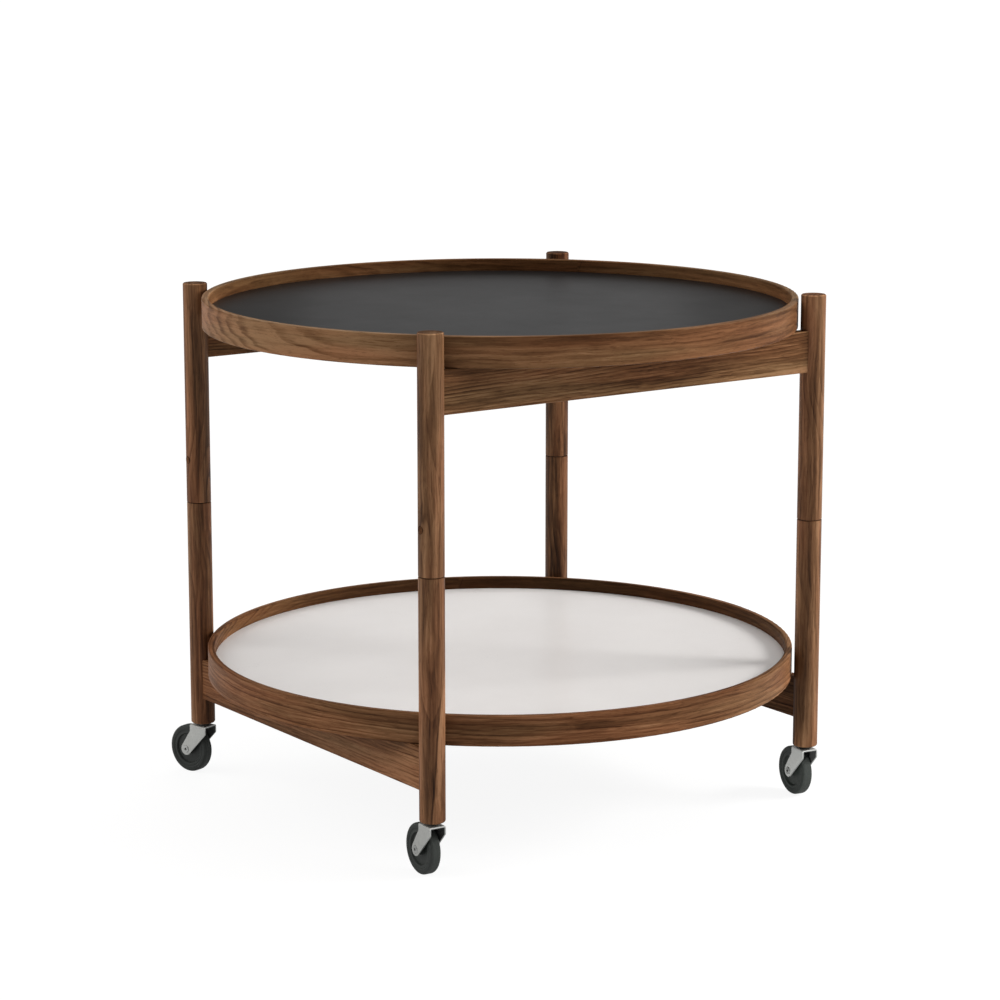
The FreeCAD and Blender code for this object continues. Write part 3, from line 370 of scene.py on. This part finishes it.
def pressed_steel(name, hub, axle, seed, tone):
    """Zinc-plated sheet of a caster fork: satin faces, sheared edges with a painted highlight, and the faces between
    the cheeks rougher and painted dark as shade.
    hub is the wheel's centre, axle its direction; tone darkens the whole fork as painted shade."""
    n = Net(name)
    place = n.place()
    p = n.vec("ADD", place, (23.0 * seed, 41.0 * seed, 13.0 * seed))
    across = n.vec("DOT_PRODUCT", n.vec("SUBTRACT", place, tuple(hub)), tuple(axle))
    turned = n.vec("DOT_PRODUCT", n.facing(), tuple(axle))
    _, _, up = n.split(n.facing())
    _, _, high = n.split(place)
    patch = n.noise(p, 4.5, 3.0, 0.55)
    rolled = n.noise(p, (7.0, 7.0, 0.35), 2.0, 0.6)
    spangle = n.cells(p, 1.6, output="Color")
    spangle, _, _ = n.split(spangle)
    # a sheared edge faces along neither the cheeks nor the top plate
    plate = n.math("MULTIPLY", n.span(n.math("ABSOLUTE", up), 0.55, 0.8, smooth=True), n.span(high, 49.6, 50.6))
    cheek = n.span(n.math("ABSOLUTE", turned), 0.35, 0.7, smooth=True)
    cut = n.math("SUBTRACT", 1.0, n.math("MAXIMUM", cheek, plate))
    inside = n.span(n.math("MULTIPLY", turned, across), -1.2, -0.2, 1.0, 0.0)
    # the inner part of each sheared edge is made much darker, so that the bright line keeps to the outer arris
    deep = n.math("MINIMUM", n.math("SUBTRACT", 8.8, n.math("ABSOLUTE", across)), n.math("SUBTRACT", 52.7, high))
    inner_edge_dark = n.span(deep, 0.9, 1.4, smooth=True)
    value = n.math("ADD", n.math("MULTIPLY", rolled, 0.45), n.math("MULTIPLY_ADD", patch, 0.40, n.math("MULTIPLY", spangle, 0.15)))
    colour = n.mix(n.span(value, 0.32, 0.68), (0.53, 0.54, 0.52), (0.62, 0.63, 0.605))
    grime = n.span(n.noise(p, 2.6, 3.0, 0.6), 0.52, 0.78, 1.0, 0.88)
    # painted shade: the whole fork is made darker at some corners by tone
    colour = n.mix(1.0, n.dim(colour, grime), (tone, tone, tone), "MULTIPLY")
    # painted highlight: sheared edges take a bright colour, brightest along the top plate's edge
    colour = n.mix(cut, colour, n.mix(inner_edge_dark, n.mix(n.span(high, 49.8, 50.8), (0.46, 0.47, 0.455), (0.66, 0.67, 0.65)), (0.16, 0.165, 0.16)))
    # painted shade: the faces between the cheeks are made much darker
    colour = n.dim(colour, n.span(inside, 0.0, 1.0, 1.0, 0.16))
    r = n.math("MULTIPLY_ADD", n.math("SUBTRACT", patch, 0.5), 0.2, 0.46)
    r = n.math("MULTIPLY_ADD", inside, 0.2, r)
    height = n.math("MULTIPLY_ADD", patch, 0.5, rolled)
    return n.shade(color=colour, rough=r, metal=0.40, normal=n.bump(height, 0.012, 0.5), spec=0.3)


def plastic(name, dark, light, rough, seed, grain=0.45, depth=0.03):
    n = Net(name)
    p = n.vec("ADD", n.place(), (29.0 * seed, 37.0 * seed, 11.0 * seed))
    cloud = n.noise(p, 9.0, 3.0, 0.55)
    fine = n.noise(p, grain, 2.0, 0.6)
    value = n.math("MULTIPLY_ADD", n.math("SUBTRACT", fine, 0.5), 0.4, cloud)
    return n.shade(color=n.mix(n.span(value, 0.3, 0.7), dark, light),
                   rough=n.math("MULTIPLY_ADD", n.math("SUBTRACT", cloud, 0.5), 0.2, rough),
                   normal=n.bump(fine, depth, 0.6), spec=0.4)


def tyre(name, hub, axle, dark, light, dust, seed):
    """Moulded rubber, dusty and scuffed on the tread. hub is the wheel's centre, axle its direction."""
    n = Net(name)
    place = n.place()
    p = n.vec("ADD", place, (29.0 * seed, 37.0 * seed, 11.0 * seed))
    rel = n.vec("SUBTRACT", place, tuple(hub))
    out = n.vec("DOT_PRODUCT", rel, tuple(axle))
    flat = n.vec("SUBTRACT", rel, n.vec("SCALE", tuple(axle), out))
    radius = n.vec("LENGTH", flat)
    cloud = n.noise(p, 7.0, 3.0, 0.6)
    fine = n.noise(p, 0.5, 2.0, 0.6)
    turn = n.vec("SCALE", n.vec("NORMALIZE", flat), 25.0)
    scuff = n.noise(n.vec("ADD", turn, n.join(n.math("MULTIPLY", out, 3.0), 0.0, 0.0)), (3.0, 3.0, 3.0), 3.0, 0.65)
    tread = n.math("MULTIPLY", n.span(radius, 23.4, 24.7, smooth=True), n.span(scuff, 0.25, 0.75, 0.35, 1.0))
    colour = n.mix(n.span(cloud, 0.3, 0.7), dark, light)
    colour = n.mix(n.math("MULTIPLY", tread, 0.75), colour, dust)
    r = n.math("MULTIPLY_ADD", n.math("SUBTRACT", cloud, 0.5), 0.2, 0.52)
    r = n.math("MULTIPLY_ADD", tread, 0.12, r)
    return n.shade(color=colour, rough=r, normal=n.bump(n.math("MULTIPLY_ADD", scuff, 0.4, fine), 0.04, 0.6), spec=0.4)


# ---------------------------------------------------------------- finishes of the frame's parts

def wear(node, material):
    o = nodes[node]
    o.data.materials.clear()
    o.data.materials.append(material)


LEGS = {
    # node: seed, pith, lean per metre, ring, lift, dives; lift makes each leg paler or darker to follow how light falls
    # at its corner, as painted light and shade
    "upper_leg_front_left": (1.7, (58.0, 26.0), (14.0, 22.0), 5.6, 0.03, ((330.0, 430.0, 11.0),)),
    "lower_leg_front_left": (2.9, (44.0, 60.0), (-20.0, 12.0), 6.2, 0.02, ((90.0, 220.0, -12.0),)),
    "upper_leg_front_right": (4.3, (38.0, -52.0), (18.0, -10.0), 5.4, 0.12, ((360.0, 440.0, 13.0),)),
    "lower_leg_front_right": (5.6, (66.0, -20.0), (-12.0, 16.0), 6.0, 0.11, ((150.0, 260.0, 10.0),)),
    "upper_leg_back_left": (7.1, (-40.0, 50.0), (10.0, 20.0), 5.8, 0.01, ((300.0, 390.0, 13.0),)),
    "lower_leg_back_left": (8.4, (-62.0, 18.0), (-16.0, -8.0), 5.6, 0.01, ((190.0, 280.0, -11.0),)),
    "upper_leg_back_right": (9.8, (55.0, 40.0), (12.0, -18.0), 6.0, -0.25, ((380.0, 470.0, 10.0),)),
    "lower_leg_back_right": (11.2, (30.0, -64.0), (-14.0, 10.0), 5.6, -0.20, ((100.0, 240.0, 10.0),)),
}
# wide bands without a dark line paint shade or light down one side of a leg, where the trays shade it or the lamps
# light it; the narrow pale band with a dark line on the front left lower leg is figure in the wood
BANDS_AND_SIDE_SHADE = {
    "upper_leg_front_left": (((0.818, -0.575), (40.0, 5.0), (600.0, 5.0), 30.0, -0.07, 0.0),),
    "lower_leg_front_left": (((0.818, -0.575), (62.0, 0.2), (180.0, 8.8), 8.0, 0.42, 0.22), ((0.818, -0.575), (230.0, 5.0), (600.0, 5.0), 30.0, -0.07, 0.0)),
    "upper_leg_back_left": (((0.818, -0.575), (40.0, -1.0), (600.0, -1.0), 30.0, -0.15, 0.0), ((-0.818, 0.575), (40.0, 5.0), (600.0, 5.0), 30.0, 0.11, 0.0)),
    "lower_leg_back_left": (((0.818, -0.575), (40.0, -1.0), (600.0, -1.0), 30.0, -0.15, 0.0), ((-0.818, 0.575), (40.0, 5.0), (600.0, 5.0), 30.0, 0.11, 0.0)),
    "upper_leg_back_right": (((0.818, -0.575), (40.0, -8.0), (600.0, -8.0), 16.0, -0.10, 0.0), ((0.575, 0.818), (40.0, 1.0), (600.0, 1.0), 40.0, 0.20, 0.0)),
    "lower_leg_back_right": (((0.818, -0.575), (40.0, -8.0), (600.0, -8.0), 16.0, -0.10, 0.0), ((0.575, 0.818), (40.0, 1.0), (600.0, 1.0), 40.0, 0.15, 0.0)),
}
for node, (seed, pith, lean, ring, lift, dives) in LEGS.items():
    corner = node.split("_leg_")[1]
    wear(node, walnut("walnut_" + node, "Z", (*CORNERS[corner], 0.0), seed, pith, lean, ring, 6.0, lift, figure=0.48, streak=0.70, wobble=3.0, dives=dives, ior=1.22, bands=BANDS_AND_SIDE_SHADE.get(node, ())))

RAILS = {
    # node: grain, centre, seed, pith, lean per metre, ring, sway, lift, zones; the back upper rail and the right lower
    # rail are made darker through lift as painted shade under the trays, and the front upper rail's zones paint its
    # shaded middle and its lit right end
    "upper_rail_front": ("X", (0.0, -LEG_Y, 463.5), 13.4, (-58.0, 18.0), (34.0, 10.0), 3.0, 6.0, -0.03, ((-230.0, 60.0, -0.06), (110.0, 230.0, 0.10))),
    "upper_rail_back": ("X", (0.0, LEG_Y, 463.5), 14.9, (62.0, 24.0), (-36.0, 8.0), 3.2, 6.0, -0.20, ()),
    "lower_rail_left": ("Y", (-LEG_X, 0.0, 104.6), 16.2, (-54.0, 26.0), (-30.0, -14.0), 3.1, 6.0, 0.05, ((-230.0, -110.0, 0.08),)),
    "lower_rail_right": ("Y", (LEG_X, 0.0, 104.6), 17.7, (56.0, -30.0), (-30.0, 12.0), 3.4, 6.0, -0.20, ()),
}
for node, (grain, centre, seed, pith, lean, ring, sway, lift, zones) in RAILS.items():
    wear(node, walnut("walnut_" + node, grain, centre, seed, pith, lean, ring, sway, lift, figure=0.54, streak=0.50, wobble=1.8, fine=1.1, zones=zones, tint=(0.93, 1.0, 1.0) if node.startswith("upper") else None))

# on the rims, zones paint stretches of light and shade, inner paints shade inside them, and a painted highlight runs
# along the top rim's upper face
wear("top_tray_rim", walnut("walnut_top_tray_rim", "O", (0.0, 0.0, 499.45), 19.3, (12.0, -16.0), (16.0, 6.0), 5.4, 5.0, 0.10,
                            figure=0.46, streak=0.40, wobble=7.0, soft=0.55, fine=0.7, top_edge_highlight=(1.25, 1.42, 1.62), tint=(0.95, 1.0, 1.0),
                            bold=(-420.0, -60.0, 0.40), dives=((-370.0, -60.0, 40.0), (430.0, 640.0, 22.0), (-800.0, -610.0, 24.0)), zones=((-420.0, 0.0, 0.14), (20.0, 230.0, -0.08), (330.0, 660.0, -0.09)), joint=38.0, inner=(0.60, 0.95, 1.0)))
wear("lower_tray_rim", walnut("walnut_lower_tray_rim", "O", (0.0, 0.0, 140.55), 21.8, (26.0, -30.0), (-14.0, 8.0), 3.4, 5.0, 0.03,
                              figure=0.56, streak=0.36, wobble=1.8, soft=0.2,
                              dives=((-760.0, -520.0, 30.0), (330.0, 560.0, 28.0)), zones=((260.0, 520.0, 0.09),), joint=64.0, inner=(0.28, 1.10, 0.50)))
for side, y in (("front", -LEG_Y), ("back", LEG_Y)):
    wear("pivot_plugs_" + side, walnut("walnut_plugs_" + side, "X", (0.0, y, 337.0), 23.0 + y / 400.0, (3.0, 9.0), (0.0, 0.0), 2.2, 1.0, 0.02, rim=3.2))

black = laminate("black_laminate", (0.0100, 0.0102, 0.0106), (0.0145, 0.0146, 0.0149), 0.076, 0.335, 1.0)
white = laminate("white_laminate", (0.762, 0.744, 0.733), (0.802, 0.785, 0.774), 0.30, 0.30, 2.0)
for tray in ("top_tray", "lower_tray"):
    wear(tray + "_black_laminate", black)
    wear(tray + "_white_laminate", white)
    wear(tray + "_core", board("core_board_" + tray, (0.20, 0.125, 0.07), (0.42, 0.30, 0.19), 3.0 if tray[0] == "t" else 4.0))

dowel = board("dowel_beech", (0.40, 0.25, 0.14), (0.62, 0.44, 0.28), 5.0)
pin = metal("pin_steel", (0.46, 0.46, 0.46), (0.62, 0.62, 0.61), (0.5, 0.5, 14.0), 0.28, 6.0)
brass = metal("bush_brass", (0.50, 0.33, 0.11), (0.66, 0.46, 0.18), (6.0, 6.0, 0.4), 0.3, 7.0)
nylon = plastic("washer_nylon", (0.010, 0.008, 0.007), (0.020, 0.016, 0.013), 0.5, 8.0)
socket = metal("socket_steel", (0.050, 0.047, 0.042), (0.090, 0.086, 0.078), (0.6, 0.6, 8.0), 0.42, 9.0, 0.4)
axle = metal("axle_steel", (0.50, 0.51, 0.50), (0.62, 0.63, 0.61), (0.6, 0.6, 0.6), 0.42, 11.0, 0.10)
hub = plastic("hub_plastic", (0.017, 0.0205, 0.018), (0.028, 0.0325, 0.0290), 0.45, 12.0)
for node in nodes:
    if node.startswith("rail_dowels"):
        wear(node, dowel)
    elif node.startswith(("pivot_pins", "pivot_screws")):
        wear(node, pin)
    elif node.startswith("pivot_bushes"):
        wear(node, brass)
    elif node.startswith("pivot_washers"):
        wear(node, nylon)
    elif node.startswith("caster_"):
        if node.endswith(("_sleeve", "_stem")):
            wear(node, socket)
        elif node.endswith("_axle"):
            wear(node, axle)
        elif node.endswith("_hub"):
            wear(node, hub)

# painted shade: the forks at some corners are made darker, to follow how light falls on them
FORK_SHADE_TONES = {"front_left": 0.80, "back_left": 0.95, "front_right": 1.0, "back_right": 1.0}
for joint in frame["joints"]:
    if joint["name"].startswith("roll_"):
        corner = joint["name"][5:]
        centre = [1000.0 * c for c in joint["pos_m"]]
        direction = Vector(joint["axis"]).normalized()
        wear("caster_%s_fork" % corner, pressed_steel("fork_steel_" + corner, centre, direction, 3.0 + len(corner), FORK_SHADE_TONES[corner]))
        wear("caster_%s_tyre" % corner, tyre("tyre_" + corner, centre, direction, (0.015, 0.0185, 0.0163), (0.025, 0.0295, 0.0262),
                                             (0.055, 0.061, 0.056), 13.0 + len(corner)))


# ---------------------------------------------------------------- stage, light and camera

AZ = math.radians(-35.113)
TO_CAMERA = Vector((math.sin(AZ), -math.cos(AZ), 0.0))
TO_RIGHT = Vector((math.cos(AZ), math.sin(AZ), 0.0))
MIDDLE = Vector((0.0, 0.0, 0.30))

floor_mesh = bpy.data.meshes.new("floor")
reach = 14.0
floor_mesh.from_pydata([(-reach, -reach, 0.0), (reach, -reach, 0.0), (reach, reach, 0.0), (-reach, reach, 0.0)], [], [(0, 1, 2, 3)])
floor = bpy.data.objects.new("floor", floor_mesh)
bpy.context.scene.collection.objects.link(floor)
n = Net("floor_paper")
far = n.span(n.vec("LENGTH", n.place()), 520.0, 1150.0, smooth=True)
tone = n.mix(n.noise(n.place(), 900.0, 2.0, 0.5), (0.385, 0.385, 0.385), (0.40, 0.40, 0.40))
n.shade(color=tone, rough=0.9, spec=0.1)
# painted light: the floor glows as bounce light for all rays but the camera's, less towards the middle as a painted
# shadow of the table; to the camera it is diffuse plus glow near the table, fading to an even bright white further out
n.bsdf.inputs["Emission Color"].default_value = (1.0, 1.0, 1.0, 1.0)
n.put(n.bsdf.inputs["Emission Strength"], n.span(n.vec("LENGTH", n.place()), 200.0, 620.0, 0.16, 0.52, smooth=True))
tree = n.tree
plain, glow, bright, both, fade, pick = (tree.nodes.new("ShaderNode" + k) for k in
                                         ("BsdfDiffuse", "Emission", "Emission", "AddShader", "MixShader", "MixShader"))
plain.inputs["Color"].default_value = (0.16, 0.16, 0.16, 1.0)
glow.inputs["Strength"].default_value = 0.90
bright.inputs["Strength"].default_value = 1.05
ray = tree.nodes.new("ShaderNodeLightPath")
tree.links.new(plain.outputs[0], both.inputs[0])
tree.links.new(glow.outputs[0], both.inputs[1])
tree.links.new(far, fade.inputs[0])
tree.links.new(both.outputs[0], fade.inputs[1])
tree.links.new(bright.outputs[0], fade.inputs[2])
tree.links.new(ray.outputs["Is Camera Ray"], pick.inputs[0])
tree.links.new(n.bsdf.outputs[0], pick.inputs[1])
tree.links.new(fade.outputs[0], pick.inputs[2])
tree.links.new(pick.outputs[0], n.out.inputs["Surface"])
floor_mesh.materials.append(n.mat)

world = bpy.data.worlds.new("studio")
bpy.context.scene.world = world
world.use_nodes = True
wt = world.node_tree
wt.nodes.clear()
w_out = wt.nodes.new("ShaderNodeOutputWorld")
w_mix = wt.nodes.new("ShaderNodeMixShader")
w_ray = wt.nodes.new("ShaderNodeLightPath")
w_dim = wt.nodes.new("ShaderNodeBackground")
w_white = wt.nodes.new("ShaderNodeBackground")
w_dim.inputs["Color"].default_value = (1.0, 0.99, 0.98, 1.0)


def toward(turn, up):
    """Direction by its turn from the camera's side to the right, and its height, in degrees."""
    a, e = math.radians(turn), math.radians(up)
    return math.cos(e) * (math.cos(a) * TO_CAMERA + math.sin(a) * TO_RIGHT) + Vector((0.0, 0.0, math.sin(e)))


sky = wt.nodes.new("ShaderNodeTexCoord").outputs["Generated"]
glow_total = None
for turn, up, width, share in ((0.0, 90.0, 0.0, 0.57), (0.0, 10.0, 3.0, -0.58), (-150.0, 14.0, 3.0, -0.32), (180.0, 10.0, 4.0, -0.16), (-108.0, 16.0, 10.0, 0.70)):
    dot, lobe, power = (wt.nodes.new("ShaderNode" + k) for k in ("VectorMath", "Math", "Math"))
    dot.operation, lobe.operation, power.operation = "DOT_PRODUCT", "MAXIMUM", "POWER"
    dot.inputs[1].default_value = toward(turn, up)
    lobe.inputs[1].default_value = 0.0
    power.inputs[1].default_value = width
    wt.links.new(sky, dot.inputs[0])
    wt.links.new(dot.outputs["Value"], lobe.inputs[0])
    wt.links.new(lobe.outputs[0], power.inputs[0])
    add = wt.nodes.new("ShaderNodeMath")
    add.operation = "MULTIPLY_ADD"
    add.inputs[1].default_value = share
    wt.links.new(power.outputs[0], add.inputs[0])
    if glow_total is None:
        add.inputs[2].default_value = 0.0
    else:
        wt.links.new(glow_total, add.inputs[2])
    glow_total = add.outputs[0]
wt.links.new(glow_total, w_dim.inputs["Strength"])
w_white.inputs["Color"].default_value = (1.0, 1.0, 1.0, 1.0)
w_white.inputs["Strength"].default_value = 1.05
wt.links.new(w_ray.outputs["Is Camera Ray"], w_mix.inputs[0])
wt.links.new(w_dim.outputs[0], w_mix.inputs[1])
wt.links.new(w_white.outputs[0], w_mix.inputs[2])
wt.links.new(w_mix.outputs[0], w_out.inputs["Surface"])


def softbox(name, at, size, radiance, colour=(1.0, 1.0, 1.0), aim=MIDDLE):
    """A flat square light of the given radiance, turned to the table."""
    data = bpy.data.lights.new(name, "AREA")
    data.shape = "RECTANGLE"
    data.size, data.size_y = size
    data.energy = radiance * math.pi * size[0] * size[1]
    data.color = colour
    o = bpy.data.objects.new(name, data)
    bpy.context.scene.collection.objects.link(o)
    o.location = at
    o.rotation_mode = "QUATERNION"
    o.rotation_quaternion = (Vector(aim) - Vector(at)).to_track_quat("-Z", "Y")
    o.visible_camera = False
    return o


def broad(name, turn, up, width, strength):
    """Even light from a wide round patch of the studio, width degrees across."""
    data = bpy.data.lights.new(name, "SUN")
    data.angle = math.radians(width)
    data.energy = strength
    data.color = (1.0, 0.99, 0.98)
    o = bpy.data.objects.new(name, data)
    bpy.context.scene.collection.objects.link(o)
    o.rotation_mode = "QUATERNION"
    o.rotation_quaternion = (-toward(turn, up)).to_track_quat("-Z", "Y")
    o.visible_camera = False
    o.visible_glossy = False
    return o


broad("light_right_broad", 88.0, 8.0, 62.0, 1.81)
broad("light_left_broad", -82.0, 32.0, 54.0, 0.94)
softbox("light_right", MIDDLE + 2.05 * TO_RIGHT + Vector((0.0, 0.0, 0.90)), (0.85, 0.6), 21.0, (1.0, 0.985, 0.97)).visible_glossy = False
softbox("light_back", MIDDLE - 1.7 * TO_CAMERA + Vector((0.0, 0.0, 0.50)), (0.6, 0.5), 0.26)
softbox("light_back_high", MIDDLE - 1.9 * TO_CAMERA + Vector((0.0, 0.0, 0.95)), (1.6, 0.5), 4.0).visible_glossy = False

aim = Vector((LEG_X / 1000.0, -LEG_Y / 1000.0, 0.018))
data = bpy.data.lights.new("fill_caster", "SPOT")
data.energy = 44.0
data.spot_size = math.radians(6.6)
data.spot_blend = 1.0
data.shadow_soft_size = 0.03
fill = bpy.data.objects.new("fill_caster", data)
bpy.context.scene.collection.objects.link(fill)
fill.location = aim + 1.2 * toward(-26.0, 5.0)
fill.rotation_mode = "QUATERNION"
fill.rotation_quaternion = (-toward(-26.0, 5.0)).to_track_quat("-Z", "Y")
fill.visible_camera = False
fill.visible_glossy = False

data = bpy.data.cameras.new("camera")
data.sensor_width = 36.0
data.lens = 3122.4 * 36.0 / 1000.0
data.clip_start, data.clip_end = 0.05, 60.0
camera = bpy.data.objects.new("camera", data)
bpy.context.scene.collection.objects.link(camera)
camera.location = 3.1294 * TO_CAMERA + Vector((0.0, 0.0, 0.9274))
camera.rotation_euler = (math.radians(90.0 - 11.297), 0.0, AZ)
bpy.context.scene.camera = camera

bpy.context.scene.view_settings.view_transform = "Standard"
bpy.context.scene.view_settings.look = "None"
